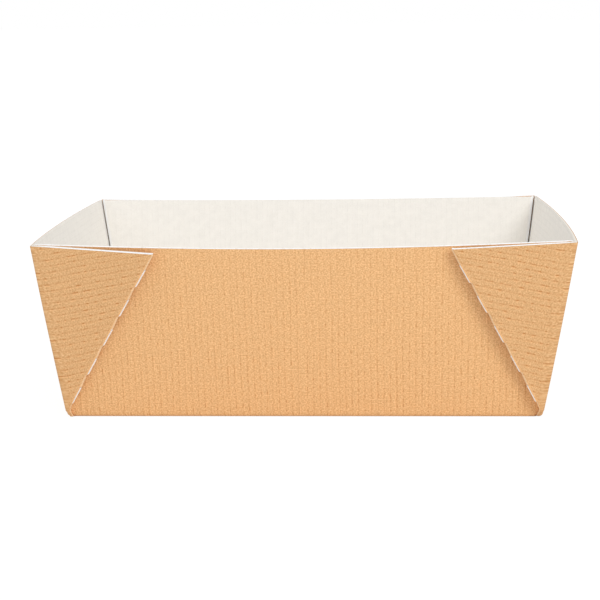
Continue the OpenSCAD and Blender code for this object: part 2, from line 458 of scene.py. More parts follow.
    def blank_xy(self, station: Station, v: float, inset: float) -> tuple[float, float]:
        """Place of a point on the flat blank, in millimetres from its middle.

        Flutes run along the blank's Y, so its X is the way across them on every panel.

        Args:
            station: Column of the sheet.
            v: Height share of the row.
            inset: How far the floor's fold draws the row in.

        Returns:
            X and Y on the blank.
        """
        s = self.sizes
        corner = station.corner
        if station.zone is Zone.LONG_WALL:
            x = (self.end_face(corner.draw_in(v), v) - self.turn_p(v)) * station.share
            return corner.side_x * x, corner.side_y * (s.floor_w / 2 + s.side_slant * v - inset)
        if station.zone is Zone.END_WALL:
            x = s.floor_l / 2 + s.end_slant * v - inset
            return corner.side_x * x, corner.side_y * self.end_half_l(v) * station.share
        rise = s.side_slant * v
        half_web = s.side_splay + s.fold_angle
        outer = station.zone in (Zone.OUTER_LAYER, Zone.CORNER_TURN)
        if station.zone is Zone.WALL_TURN:
            p = self.turn_p(v) - (270 - station.share) / 180 * 2 * s.board_t
            p = self.turn_p(v) * (station.share - 90) / 180 if station.share > 180 else p
            angle = s.side_splay - math.atan2(s.end_lean * v - max(0.0, p), max(rise, SAME_ROW))
        elif station.zone is Zone.CORNER_TURN:
            angle = 0.0
        elif station.zone is Zone.DIAGONAL:
            angle = half_web
            outer = station.share > 90
        else:
            p = self.layer_end(corner, v) * station.share
            angle = s.side_splay - math.atan2(s.end_lean * v - p, max(rise, SAME_ROW))
        radius = rise / math.cos(s.side_splay - min(angle, half_web))
        if outer:
            turned = s.end_splay + angle
            local = (radius * math.cos(turned), radius * math.sin(turned))
        else:
            turned = s.side_splay + (angle if station.zone is not Zone.WALL_TURN else 0.0)
            local = (radius * math.sin(turned), radius * math.cos(turned))
        x = s.floor_l / 2 + local[0] - inset
        return corner.side_x * x, corner.side_y * (s.floor_w / 2 + local[1] - inset)


@dataclass(frozen=True)
class Finish:
    """A paper surface: its colours and how strongly its board shows through.

    Args:
        name: Name of the material.
        colour: Base colour, linear RGB.
        grain: Share by which each channel varies with the fine grain of the paper.
        mark_colour: Colour of the flutes' marks.
        mark_share: Share of that colour in a full mark.
        fold_pale_and_highlight_colour: Colour of the paper where a fold has paled it, which also
            serves as a painted highlight on the fold's curve.
        relief: Height of the flutes' relief in millimetres.
        roughness: Roughness of the paper.
    """

    name: str
    colour: tuple[float, float, float]
    grain: tuple[float, float, float]
    mark_colour: tuple[float, float, float]
    mark_share: float
    fold_pale_and_highlight_colour: tuple[float, float, float]
    relief: float
    roughness: float

    def shifted(self, direction: float) -> tuple[float, float, float]:
        """The colour at one end of its grain: -1 for the darkest and 1 for the palest."""
        red, green, blue = (
            min(1.0, c * (1 + direction * g)) for c, g in zip(self.colour, self.grain)
        )
        return red, green, blue


KRAFT = Finish(
    name="kraft_liner",
    colour=(0.81, 0.478, 0.225),
    grain=(0.2, 0.32, 0.46),
    mark_colour=(0.5, 0.175, 0.035),
    mark_share=0.75,
    # Paler kraft on the diagonal's fold: partly paper paled by the fold, partly a painted
    # highlight on the fold's curve.
    fold_pale_and_highlight_colour=(0.93, 0.76, 0.52),
    relief=0.04,
    roughness=0.82,
)
WHITE = Finish(
    name="white_liner",
    colour=(0.91, 0.88, 0.83),
    grain=(0.02, 0.022, 0.028),
    mark_colour=(0.6, 0.57, 0.52),
    mark_share=0.25,
    # Bluish white on the nose at a long wall's end: partly liner paled by the fold, partly a
    # painted highlight on its curve.
    fold_pale_and_highlight_colour=(0.96, 0.97, 0.98),
    relief=0.03,
    roughness=0.7,
)


@dataclass(frozen=True)
class PaperPattern:
    """How the board's flutes and the paper's grain show, with places in millimetres.

    Args:
        sway_scale: Scales of the noise that bends the flutes' lines.
        sway: How far that noise bends them, in flutes.
        flute_seed: Step between neighbouring flutes in the noise that breaks their lines.
        half_seed: Step between the blank's two halves in that noise.
        dash_scale: Scale of that noise along a flute.
        dash_span: Values of that noise between which a line fades in.
        faintest: Strength that a line keeps where it is broken.
        dark_span: Values of the flutes' wave between which the dark line fades in.
        highlight_span: The same for the painted highlight line beside it, the lit side of each
            ridge.
        highlight_share: Strength of the painted highlight line as a share of the dark one's.
        highlight_gain: How much paler than the paper the painted highlight line is.
        grain: Scale and detail of the fine grain.
        grain_span: Values of its noise that give the darkest and the palest paper.
        blotch: Scale and detail of the paper's soft blotches.
        blotch_share: Share by which they vary the paper.
        darkening_power: How sharply the darkening of the gussets' paper starts.
        darkening_share: Share by which full marks darken the paper.
        relief_share: Shares of the flutes' relief that follow the marks and that stay.
        grain_relief: Height of the grain's own relief.
    """

    sway_scale: tuple[float, float, float] = (0.06, 0.03, 1.0)
    sway: float = 0.6
    flute_seed: float = 3.7
    half_seed: float = 7.0
    dash_scale: float = 0.5
    dash_span: tuple[float, float] = (0.48, 0.66)
    faintest: float = 0.22
    dark_span: tuple[float, float] = (0.68, 1.0)
    highlight_span: tuple[float, float] = (0.5, 1.0)
    highlight_share: float = 0.5
    highlight_gain: float = 1.2
    grain: tuple[float, float] = (1.7, 4.0)
    grain_span: tuple[float, float] = (0.22, 0.78)
    blotch: tuple[float, float] = (0.3, 3.0)
    blotch_share: float = 0.12
    darkening_power: float = 8.0
    darkening_share: float = 0.12
    relief_share: tuple[float, float] = (0.7, 0.3)
    grain_relief: float = 0.03


class NodeBoard:
    """Adds and joins the nodes of one material."""

    def __init__(self, name: str) -> None:
        """Starts a material with a Principled shader and nothing else.

        Args:
            name: Name of the material.
        """
        self.material = bpy.data.materials.new(name)
        self.material.use_nodes = True
        self.tree = self.material.node_tree
        self.tree.nodes.clear()
        self.shader = self.tree.nodes.new("ShaderNodeBsdfPrincipled")
        self.output = self.tree.nodes.new("ShaderNodeOutputMaterial")
        self.join(self.shader.outputs["BSDF"], self.output.inputs["Surface"])

    def join(self, source: bpy.types.NodeSocket, target: bpy.types.NodeSocket) -> None:
        """Links two sockets."""
        self.tree.links.new(source, target)

    def add(self, kind: str, **settings: object) -> bpy.types.Node:
        """Adds a node and sets its properties.

        Args:
            kind: Blender's name for the node type.
            **settings: Properties of the node, by name.

        Returns:
            The new node.
        """
        node = self.tree.nodes.new(kind)
        for name, value in settings.items():
            setattr(node, name, value)
        return node

    def math(self, operation: str, *values: object) -> bpy.types.NodeSocket:
        """Adds a Math node over sockets or numbers and returns its output."""
        node = self.add("ShaderNodeMath", operation=operation)
        for socket, value in zip(node.inputs, values):
            if isinstance(value, (int, float)):
                socket.default_value = value
            else:
                self.join(value, socket)
        return node.outputs[0]

    def scaled(self, source: bpy.types.NodeSocket, scale: Sequence[float]) -> bpy.types.NodeSocket:
        """Scales a coordinate with a Mapping node."""
        node = self.add("ShaderNodeMapping")
        node.inputs["Scale"].default_value = scale
        self.join(source, node.inputs["Vector"])
        return node.outputs["Vector"]

    def noise(self, at: bpy.types.NodeSocket, scale: float, detail: float) -> bpy.types.NodeSocket:
        """Adds a noise texture and returns its value."""
        node = self.add("ShaderNodeTexNoise")
        node.inputs["Scale"].default_value = scale
        node.inputs["Detail"].default_value = detail
        self.join(at, node.inputs["Vector"])
        return node.outputs["Fac"]

    def span(self, value: bpy.types.NodeSocket, low: float, high: float) -> bpy.types.NodeSocket:
        """Stretches a value so that low becomes 0 and high becomes 1."""
        node = self.add("ShaderNodeMapRange", clamp=True, interpolation_type="SMOOTHSTEP")
        node.inputs["From Min"].default_value = low
        node.inputs["From Max"].default_value = high
        self.join(value, node.inputs["Value"])
        return node.outputs["Result"]

    def dimmed(
        self, colour: bpy.types.NodeSocket, share: bpy.types.NodeSocket
    ) -> bpy.types.NodeSocket:
        """Multiplies a colour by a value."""
        node = self.add("ShaderNodeVectorMath", operation="SCALE")
        self.join(colour, node.inputs[0])
        self.join(share, node.inputs["Scale"])
        return node.outputs["Vector"]

    def mix(
        self, share: bpy.types.NodeSocket, first: object, second: object
    ) -> bpy.types.NodeSocket:
        """Mixes two colours, each a socket or a linear RGB value."""
        node = self.add("ShaderNodeMix", data_type="RGBA")
        self.join(share, node.inputs["Factor"])
        for socket, value in ((node.inputs[6], first), (node.inputs[7], second)):
            if isinstance(value, tuple):
                socket.default_value = (*value, 1.0)
            else:
                self.join(value, socket)
        return node.outputs[2]


class PaperMaterial:
    """A liner of the board, with its grain, flute marks, a painted highlight line beside each mark
    and the flutes' faint relief.

    It reads the blank's own UV map, in metres, and the mesh attributes "marks", for how much the
    flutes show through, and "fold_pale_and_highlight", for how much a fold has paled the paper and
    carries a painted highlight.
    """

    def __init__(
        self, finish: Finish, flute_pitch: float, pattern: PaperPattern = PaperPattern()
    ) -> None:
        """Keeps what the material is made from.

        Args:
            finish: Colours and strengths of the surface.
            flute_pitch: Distance between flutes in millimetres.
            pattern: How the flutes and the grain show.
        """
        self.finish = finish
        self.flute_pitch = flute_pitch
        self.pattern = pattern

    def flutes(
        self, board: NodeBoard, place: bpy.types.NodeSocket
    ) -> tuple[bpy.types.NodeSocket, bpy.types.NodeSocket, bpy.types.NodeSocket]:
        """Adds the pattern of the flutes.

        Args:
            board: Nodes of the material.
            place: Place on the blank in millimetres.

        Returns:
            The flutes' wave, their broken dark lines and the painted highlight lines beside those.
        """
        pattern = self.pattern
        parts = board.add("ShaderNodeSeparateXYZ")
        board.join(place, parts.inputs[0])
        across, along = parts.outputs["X"], parts.outputs["Y"]
        sway = board.noise(board.scaled(place, pattern.sway_scale), 1.0, 1.0)
        outward = board.math("MULTIPLY", board.math("ABSOLUTE", across), 1 / self.flute_pitch)
        phase = board.math("MULTIPLY_ADD", sway, pattern.sway, outward)
        turn = board.math("MULTIPLY", phase, 2 * math.pi)
        wave = board.math("COSINE", turn)
        beside = board.math("COSINE", board.math("ADD", turn, math.pi / 2))
        flute, half = board.math("ROUND", phase), board.math("SIGN", across)
        seat = board.add("ShaderNodeCombineXYZ")
        board.join(board.math("MULTIPLY", flute, pattern.flute_seed), seat.inputs["X"])
        board.join(board.math("MULTIPLY", along, pattern.dash_scale), seat.inputs["Y"])
        board.join(board.math("MULTIPLY", half, pattern.half_seed), seat.inputs["Z"])
        broken = board.span(board.noise(seat.outputs["Vector"], 1.0, 3.0), *pattern.dash_span)
        faintest = pattern.faintest
        broken = board.math("MULTIPLY_ADD", broken, 1 - faintest, faintest)
        dark = board.math("MULTIPLY", board.span(wave, *pattern.dark_span), broken)
        # Painted highlight: a paler line beside each dark mark, where the flute's ridge would meet
        # the light.
        pale = board.math("MULTIPLY", board.span(beside, *pattern.highlight_span), broken)
        return wave, dark, pale

    def build(self) -> bpy.types.Material:
        """Makes the material.

        Returns:
            The finished material.
        """
        finish, pattern = self.finish, self.pattern
        board = NodeBoard(finish.name)
        blank = board.add("ShaderNodeUVMap", uv_map="blank").outputs["UV"]
        place = board.scaled(blank, (1 / MM, 1 / MM, 1 / MM))
        marks = board.add("ShaderNodeAttribute", attribute_name="marks").outputs["Fac"]
        fold_pale_and_highlight = board.add("ShaderNodeAttribute", attribute_name="fold_pale_and_highlight").outputs["Fac"]
        wave, dark, pale = self.flutes(board, place)
        fine = board.noise(place, *pattern.grain)
        blotch = board.noise(place, *pattern.blotch)
        grain = board.span(fine, *pattern.grain_span)
        colour = board.mix(grain, finish.shifted(-1.0), finish.shifted(1.0))
        uneven = board.math("SUBTRACT", blotch, 0.5)
        shade = board.math("MULTIPLY_ADD", uneven, pattern.blotch_share, 1.0)
        # Darker where the marks are full, which is on the gussets' outer layers.
        darkening = board.math("POWER", marks, pattern.darkening_power)
        darkening = board.math("MULTIPLY", darkening, -pattern.darkening_share)
        colour = board.dimmed(colour, board.math("ADD", shade, darkening))
        dark = board.math("MULTIPLY", board.math("MULTIPLY", dark, marks), finish.mark_share)
        colour = board.mix(dark, colour, finish.mark_colour)
        # The painted highlight line beside each flute mark.
        highlight_share = pattern.highlight_share * finish.mark_share
        pale = board.math("MULTIPLY", board.math("MULTIPLY", pale, marks), highlight_share)
        highlight_colour = tuple(min(1.0, c * pattern.highlight_gain) for c in finish.colour)
        colour = board.mix(pale, colour, highlight_colour)
        # Paler on the folds: partly paper paled by the fold, partly a painted highlight on the
        # fold's curve.
        colour = board.mix(fold_pale_and_highlight, colour, finish.fold_pale_and_highlight_colour)
        board.join(colour, board.shader.inputs["Base Color"])
        board.shader.inputs["Roughness"].default_value = finish.roughness
        board.shader.inputs["Specular IOR Level"].default_value = 0.2
        ridge = board.math("MULTIPLY", wave, finish.relief / 2 * MM)
        shown = board.math("MULTIPLY_ADD", marks, *pattern.relief_share)
        height = board.math("MULTIPLY", ridge, shown)
        height = board.math("MULTIPLY_ADD", fine, pattern.grain_relief * MM, height)
        bump = board.add("ShaderNodeBump")
        bump.inputs["Distance"].default_value = 1.0
        bump.inputs["Strength"].default_value = 1.0
        board.join(height, bump.inputs["Height"])
        board.join(bump.outputs["Normal"], board.shader.inputs["Normal"])
        return board.material


@dataclass(frozen=True)
class CutEdgeMaterial:
    """The board's cut edge: white paper with the brown liner as a thin line along its outside.

    It reads the mesh attributes "through", which runs from 0 at the white face to 1 at the brown,
    and "along", which is 1 where the edge runs along the flutes and is darker, partly for the
    rougher cut there and partly as painted shade on rim tops that catch the light from above.

    Args:
        core: Colour of the paper between the liners.
        shade: Colour of the specks in it.
        liner: Colour of the brown liner's line.
        along_flute_shade: Colour of an edge that runs along the flutes: partly its rougher cut,
            partly painted shade.
        speck_span: Values of the specks' noise between which they fade in.
        liner_span: Depths between which the liner's line starts.
    """

    core: tuple[float, float, float] = (0.98, 0.98, 0.98)
    shade: tuple[float, float, float] = (0.86, 0.82, 0.76)
    liner: tuple[float, float, float] = (0.6, 0.33, 0.13)
    along_flute_shade: tuple[float, float, float] = (0.84, 0.79, 0.72)
    speck_span: tuple[float, float] = (0.5, 0.75)
    liner_span: tuple[float, float] = (0.74, 0.8)

    def build(self) -> bpy.types.Material:
        """Makes the material.

        Returns:
            The finished material.
        """
        board = NodeBoard("cut_edge")
        blank = board.add("ShaderNodeUVMap", uv_map="blank").outputs["UV"]
        place = board.scaled(blank, (1 / MM, 1 / MM, 1 / MM))
        through = board.add("ShaderNodeAttribute", attribute_name="through").outputs["Fac"]
        specks = board.span(board.noise(place, 0.9, 3.0), *self.speck_span)
        colour = board.mix(specks, self.core, self.shade)
        along = board.add("ShaderNodeAttribute", attribute_name="along").outputs["Fac"]
        # Darker on the end walls' rims: partly the rougher cut along the flutes, partly painted
        # shade that keeps the lit rim tops as dark as the walls.
        colour = board.mix(along, colour, self.along_flute_shade)
        colour = board.mix(board.span(through, *self.liner_span), colour, self.liner)
        board.join(colour, board.shader.inputs["Base Color"])
        board.shader.inputs["Roughness"].default_value = 0.9
        board.shader.inputs["Specular IOR Level"].default_value = 0.1
        return board.material


@dataclass(frozen=True)
class Wear:
    """How strongly flutes show through, and how much folds are paled and carry a painted
    highlight, as shares up to 1.

    Args:
        wall_low: Marks of a long wall at the floor.
        wall_loss: How much weaker they are at its rim.
        end_wall: Marks of an end wall.
        outer_layer: Marks of a gusset's outer layer.
        elsewhere: Marks of the stretches that hardly show.
        floor: Marks of the floor.
        nose: Paling of the fold at a long wall's end, with a painted highlight on its curve.
        nose_turns: Turn in degrees between which that fold is paled and highlighted. The seam lies
            before it.
        diagonal: Paling of the fold along the diagonal, with a painted highlight on its curve.
        diagonal_turns: Turn in degrees between which that fold is paled and highlighted.
        inner_depth: Depth at which the inner layer's cut edge starts, so that its brown is wider.
        cut_depth: Depth at which a cut's edge ends, short of the brown liner's line.
        seam_layer: Share of a gusset's outer layer that lies in the seam and is painted brown as
            shade.
    """

    wall_low: float = 0.72
    wall_loss: float = 0.3
    end_wall: float = 0.6
    outer_layer: float = 1.0
    elsewhere: float = 0.5
    floor: float = 0.4
    nose: float = 0.9
    nose_turns: tuple[float, float] = (140.0, 260.0)
    diagonal: float = 0.6
    diagonal_turns: tuple[float, float] = (60.0, 150.0)
    inner_depth: float = 0.45
    cut_depth: float = 0.7
    seam_layer: float = 0.15


@dataclass
class FoldedBlank:
    """The box itself: walls and gussets as one sheet, and the floor between them.

    Args:
        fold: Where the folded board holds each point.
        wear: How the flutes and folds show on the paper.
        long_spans: Spans of a long wall.
        end_spans: Spans of an end wall.
        layer_spans: Spans of a gusset's layer.
        turn_spans: Spans of a half turn.
        fold_spans: Spans of the fold between the floor and the walls.
        foot_rows: Heights of the rows just above that fold, in millimetres.
        upper_from: Height share at which the even rows start.
        upper_spans: Spans of the even rows.
        step: Height over which a cut opens, in millimetres.
        row_gap: Least height between that fold and the row above it, in millimetres.
        floor_spans: Spans of the floor along and across the box.
        floor_bite: How far the floor runs into the walls, as a share of the board.
        floor_clear: How far the floor's underside stays off the table, in millimetres.
        corner_clear: How far the floor's corners stay back, as a share of the gusset's lift.
        sharp_angle: Angle in degrees above which an edge is shaded sharp.
    """

    fold: FoldMap = field(default_factory=FoldMap)
    wear: Wear = Wear()
    long_spans: int = 64
    end_spans: int = 26
    layer_spans: int = 10
    turn_spans: int = 8
    fold_spans: int = 6
    foot_rows: tuple[float, ...] = (2.2, 2.8, 3.5, 4.4, 5.4, 6.4, 7.6)
    upper_from: float = 0.13
    upper_spans: int = 14
    step: float = 0.25
    row_gap: float = 0.3
    floor_spans: tuple[int, int] = (24, 16)
    floor_bite: float = 0.6
    floor_clear: float = 0.02
    corner_clear: float = 0.4
    sharp_angle: float = 40.0

    def corners(self) -> dict[str, Corner]:
        """The four corners, with the two kinds of gusset placed crosswise."""
        sizes = self.fold.sizes
        return {
            "front_left": Corner.loose(-1, -1),
            "front_right": Corner.close(1, -1, sizes),
            "back_right": Corner.loose(1, 1),
            "back_left": Corner.close(-1, 1, sizes),
        }

    def corner_stations(self, corner: Corner) -> list[Station]:
        """Stations of one corner, from the long wall to the end wall."""
        turns = [270 - 180 * i / self.turn_spans for i in range(self.turn_spans + 1)]
        stations = [Station(Zone.WALL_TURN, corner, turn) for turn in turns]
        shares = [i / self.layer_spans for i in range(1, self.layer_spans + 1)]
        stations += [Station(Zone.INNER_LAYER, corner, share) for share in shares]
        arc = [180 * i / self.turn_spans for i in range(self.turn_spans + 1)]
        lips = (arc[1], arc[-2])
        stations += [Station(Zone.DIAGONAL, corner, turn, turn in lips) for turn in arc[1:-1]]
        stations += [Station(Zone.OUTER_LAYER, corner, share) for share in reversed(shares)]
        stations += [Station(Zone.CORNER_TURN, corner, turn) for turn in (90, 120, 150, 180)]
        return stations

    def wall_stations(self, zone: Zone, low: Corner, high: Corner, spans: int) -> list[Station]:
        """Stations between a wall's two corners, from the low one to the high one."""
        shares = [-1 + 2 * i / spans for i in range(1, spans)]
        if zone is Zone.END_WALL:
            near = 1 - self.fold.sizes.seam_strip / self.fold.end_half_l(1.0)
            shares = [-near, *shares, near]
        return [Station(zone, low if share < 0 else high, abs(share)) for share in shares]

    def ring(self) -> list[Station]:
        """All the stations round the box, once round from the front left corner."""
        at = self.corners()
        order = ("front_left", "back_left", "back_right", "front_right")
        ring: list[Station] = []
        for i, name in enumerate(order):
            here, following = at[name], at[order[(i + 1) % 4]]
            to_end_wall = i % 2 == 0
            stations = self.corner_stations(here)
            ring += stations if to_end_wall else reversed(stations)
            zone = Zone.END_WALL if to_end_wall else Zone.LONG_WALL
            spans = self.end_spans if to_end_wall else self.long_spans
            ring += self.wall_stations(zone, here, following, spans)
        return ring

    def rows(self) -> list[tuple[float, float]]:
        """Height share and inset of each row, from the table to the rim."""
        s = self.fold.sizes
        r = s.fold_r
        turns = [math.radians(90 * i / self.fold_spans) for i in range(self.fold_spans + 1)]
        fold = [(r * (1 - math.cos(a)) / s.box_h, r * (1 - math.sin(a))) for a in turns]
        heights = {z / s.box_h for z in self.foot_rows}
        spans = self.upper_spans
        heights |= {self.upper_from + (1 - self.upper_from) * i / spans for i in range(spans + 1)}
        step = self.step / s.box_h
        cuts = [cut for corner in self.corners().values() for cut in self.fold.cuts(corner)]
        for low, high in cuts:
            heights = {h for h in heights if min(abs(h - low), abs(h - high)) > 2 * step}
        for low, high in cuts:
            heights |= {low, low + step, high - step, high}
        lowest = fold[-1][0] + self.row_gap / s.box_h
        upper: list[float] = []
        for h in sorted(heights):
            if h > lowest and (not upper or h - upper[-1] > SAME_ROW):
                upper.append(h)
        return fold + [(h, 0.0) for h in upper]

    def sheet(self) -> bmesh.types.BMesh:
        """Builds the walls and gussets as one closed sheet.

        Returns:
            The mesh, with material indices and the blank's UV map set.
        """
        ring, rows = self.ring(), self.rows()
        bm = bmesh.new()
        bmesh.ops.create_grid(bm, x_segments=len(ring), y_segments=len(rows) - 1, size=1.0)
        column = bm.verts.layers.int.new("column")
        level = bm.verts.layers.int.new("level")
        for vert in bm.verts:
            vert[column] = round((vert.co.x + 1) / 2 * len(ring)) % len(ring)
            vert[level] = round((vert.co.y + 1) / 2 * (len(rows) - 1))
        bm.verts.ensure_lookup_table()
        for vert in bm.verts:
            v, inset = rows[vert[level]]
            vert.co = self.fold.place(ring[vert[column]], Side.WHITE, v, inset)
        seam = [vert for vert in bm.verts if vert[column] == 0]
        bmesh.ops.remove_doubles(bm, verts=seam, dist=1e-8)
        self.open_cuts(bm, ring, rows)
        white = list(bm.faces)
        side = bm.verts.layers.int.new("side")
        made = bmesh.ops.extrude_face_region(bm, geom=white, use_keep_orig=True)
        for vert in (item for item in made["geom"] if isinstance(item, bmesh.types.BMVert)):
            v, inset = rows[vert[level]]
            vert[side] = Side.BROWN.value
            vert.co = self.fold.place(ring[vert[column]], Side.BROWN, v, inset)
            if vert[level] == len(rows) - 1:
                vert.co.z -= self.rim_slope(ring[vert[column]]) * MM
        self.finish_sheet(bm, ring, rows)
        return bm

    def open_cuts(
        self, bm: bmesh.types.BMesh, ring: Sequence[Station], rows: Sequence[tuple[float, float]]
    ) -> None:
        """Removes the fold between the two lips of each cut.

        Args:
            bm: The sheet, still without thickness.
            ring: Stations of its columns.
            rows: Heights and insets of its rows.
        """
        column = bm.verts.layers.int["column"]
        level = bm.verts.layers.int["level"]
        gone = []
        for face in bm.faces:
            stations = [ring[vert[column]] for vert in face.verts]
            if any(station.zone is not Zone.DIAGONAL for station in stations):
                continue
            middle = sum(rows[vert[level]][0] for vert in face.verts) / len(face.verts)
            if self.fold.is_cut(stations[0].corner, middle):
                gone.append(face)
        bmesh.ops.delete(bm, geom=gone, context="FACES")

    def finish_sheet(
        self, bm: bmesh.types.BMesh, ring: Sequence[Station], rows: Sequence[tuple[float, float]]
    ) -> None:
        """Sets the sheet's normals, finishes, UV map, attributes and sharp edges.

        Args:
            bm: The sheet with its thickness.
            ring: Stations of its columns.
            rows: Heights and insets of its rows.
        """
        column = bm.verts.layers.int["column"]
        level = bm.verts.layers.int["level"]
        side = bm.verts.layers.int["side"]
        uv = bm.loops.layers.uv.new("blank")
        marks = bm.verts.layers.float.new("marks")
        fold_pale_and_highlight = bm.verts.layers.float.new("fold_pale_and_highlight")
        through = bm.verts.layers.float.new("through")
        along = bm.verts.layers.float.new("along")
        bmesh.ops.recalc_face_normals(bm, faces=bm.faces)
        for vert in bm.verts:
            station, height = ring[vert[column]], rows[vert[level]][0]
            vert[marks] = self.marks_at(station, height)
            vert[fold_pale_and_highlight] = self.fold_pale_and_highlight_at(station, Side(vert[side]))
            vert[through] = self.through_at(station, height, Side(vert[side]))
            # End walls' rims are marked for the darker edge colour, partly painted shade.
            vert[along] = 1.0 if station.zone in (Zone.END_WALL, Zone.CORNER_TURN) else 0.0
        for face in bm.faces:
            places = [(ring[vert[column]], rows[vert[level]][0]) for vert in face.verts]
            sides = {Side(vert[side]) for vert in face.verts}
            face.material_index = self.finish_of(sides, places).value
            face.smooth = True
            for loop in face.loops:
                v, inset = rows[loop.vert[level]]
                x, y = self.fold.blank_xy(ring[loop.vert[column]], v, inset)
                loop[uv].uv = (x * MM, y * MM)
        sharp = math.radians(self.sharp_angle)
        for edge in bm.edges:
            if len(edge.link_faces) == 2 and edge.calc_face_angle() > sharp:
                edge.smooth = False

    def marks_at(self, station: Station, height: float) -> float:
        """How much the flutes show through at a place, from 0 to 1."""
        wear = self.wear
        if station.zone is Zone.LONG_WALL:
            return wear.wall_low - wear.wall_loss * height
        if station.zone is Zone.END_WALL:
            return wear.end_wall
        shows = station.zone in (Zone.OUTER_LAYER, Zone.CORNER_TURN)
        return wear.outer_layer if shows else wear.elsewhere

    def fold_pale_and_highlight_at(self, station: Station, side: Side) -> float:
        """How much a fold has paled the paper at a place, with its painted highlight, from 0 to 1.
        """
        wear = self.wear
        if station.zone is Zone.WALL_TURN and side is Side.WHITE:
            low, high = wear.nose_turns
            return wear.nose if low < station.share < high else 0.0
        if station.zone is Zone.DIAGONAL and side is Side.BROWN:
            low, high = wear.diagonal_turns
            return wear.diagonal if low < station.share < high else 0.0
        return 0.0

    def through_at(self, station: Station, height: float, side: Side) -> float:
        """Depth in a cut edge at a place, from 0 at the white face to 1 at the brown."""
        if side is Side.WHITE:
            inner = station.zone in (Zone.INNER_LAYER, Zone.WALL_TURN)
            return self.wear.inner_depth if inner else 0.0
        if station.lip and self.fold.is_cut(station.corner, height):
            return self.wear.cut_depth
        return 1.0

    def rim_slope(self, station: Station) -> float:
        """How much lower the rim's cut edge is at its brown side, in millimetres.

        A loose gusset's inner layer has a level edge, and the turn beside it runs from one to the
        other. All else slopes out.
        """
        bevel = self.fold.sizes.rim_bevel
        if station.zone is Zone.DIAGONAL:
            return bevel if station.share > 90 else 0.0
        if station.corner.belly > 0:
            return bevel
        if station.zone is Zone.INNER_LAYER:
            return 0.0
        if station.zone is Zone.WALL_TURN:
            return bevel * (station.share - 90) / 180
        return bevel

    def in_painted_seam(self, station: Station) -> bool:
        """Whether a station lies in the seam beside a long wall's end, painted brown: a cracked
        liner on the end wall's strip, painted shade deeper in the slot.
        """
        if station.zone is Zone.CORNER_TURN:
            return True
        if station.zone is Zone.WALL_TURN:
            return station.share < self.wear.nose_turns[0]
        if station.zone is Zone.END_WALL:
            # The strip's own station lies one strip from the corner, the next one further off.
            return station.share > 1 - 1.5 * self.fold.sizes.seam_strip / self.fold.end_half_l(1.0)
        return station.zone is Zone.OUTER_LAYER and station.share < self.wear.seam_layer

    def is_foot(self, station: Station, height: float) -> bool:
        """Whether a place is where a gusset is crushed to a point at the floor."""
        gusset = station.zone in (Zone.INNER_LAYER, Zone.OUTER_LAYER, Zone.DIAGONAL)
        return gusset and height * self.fold.sizes.box_h < self.fold.sizes.full_z

    def finish_of(self, sides: set[Side], places: Sequence[tuple[Station, float]]) -> Slot:
        """Finds the finish of a face.

        Args:
            sides: Faces of the board that its corners lie on.
            places: Station and height share of each of its corners.

        Returns:
            The slot of its finish.
        """
        at_floor = all(height == 0 for _, height in places)
        if at_floor or all(self.is_foot(station, height) for station, height in places):
            return Slot.KRAFT
        if len(sides) == 2:
            return Slot.CUT_EDGE
        # Brown faces, and white faces in the seam, get the kraft finish; in the seam this is a
        # cracked liner at the corner's fold and painted shade in the slot behind it.
        if Side.BROWN in sides or all(self.in_painted_seam(station) for station, _ in places):
            return Slot.KRAFT
        return Slot.WHITE

    def floor(self) -> bmesh.types.BMesh:
        """Builds the floor panel, whose edges run into the folds all round.

        Returns:
            The mesh, with material indices and the blank's UV map set.
        """
        s = self.fold.sizes
        bm = bmesh.new()
        along, across = self.floor_spans
        bmesh.ops.create_grid(bm, x_segments=along, y_segments=across, size=1.0)
        side = bm.verts.layers.int.new("side")
        bite = self.floor_bite * s.board_t
        half_l, half_w = s.floor_l / 2 + bite, s.floor_w / 2 + bite
        low = Vector((half_l - s.fold_r, half_w - s.fold_r, self.floor_clear)) * MM
        high = Vector((half_l, half_w, s.board_t)) * MM
        close = Corner.close(1, 1, s)
        for vert in bm.verts:
            x, y = vert.co.xy
            drawn = close.foot * (1 - x * y) / 2
            if math.isclose(abs(x * y), 1, abs_tol=1e-3):
                drawn += close.lift * self.corner_clear
            vert.co = Vector((x * (high.x - drawn * MM), y * high.y, high.z))
        made = bmesh.ops.extrude_face_region(bm, geom=list(bm.faces), use_keep_orig=True)
        for vert in (item for item in made["geom"] if isinstance(item, bmesh.types.BMVert)):
            vert[side] = Side.BROWN.value
            vert.co = Vector((vert.co.x * low.x / high.x, vert.co.y * low.y / high.y, low.z))
        bmesh.ops.recalc_face_normals(bm, faces=bm.faces)
        uv = bm.loops.layers.uv.new("blank")
        marks = bm.verts.layers.float.new("marks")
        for vert in bm.verts:
            vert[marks] = self.wear.floor
        for face in bm.faces:
            brown = any(vert[side] == Side.BROWN.value for vert in face.verts)
            face.material_index = (Slot.KRAFT if brown else Slot.WHITE).value
            for loop in face.loops:
                loop[uv].uv = loop.vert.co.xy
        return bm

    def dress(self, materials: Iterable[bpy.types.Material]) -> list[bpy.types.Object]:
        """Makes the objects of the box and gives them their finishes.

        Args:
            materials: The finishes in the order of Slot.

        Returns:
            The walls with their gussets, and the floor.
        """
        finishes = list(materials)
        pieces = []
        for name, bm in (("folded_walls", self.sheet()), ("floor_panel", self.floor())):
            mesh = bpy.data.meshes.new(name)
            bm.to_mesh(mesh)
            bm.free()
            for material in finishes:
                mesh.materials.append(material)
            piece = bpy.data.objects.new(name, mesh)
            bpy.context.scene.collection.objects.link(piece)
            LOG.info("%s: %d faces", name, len(mesh.polygons))
            pieces.append(piece)
        return pieces


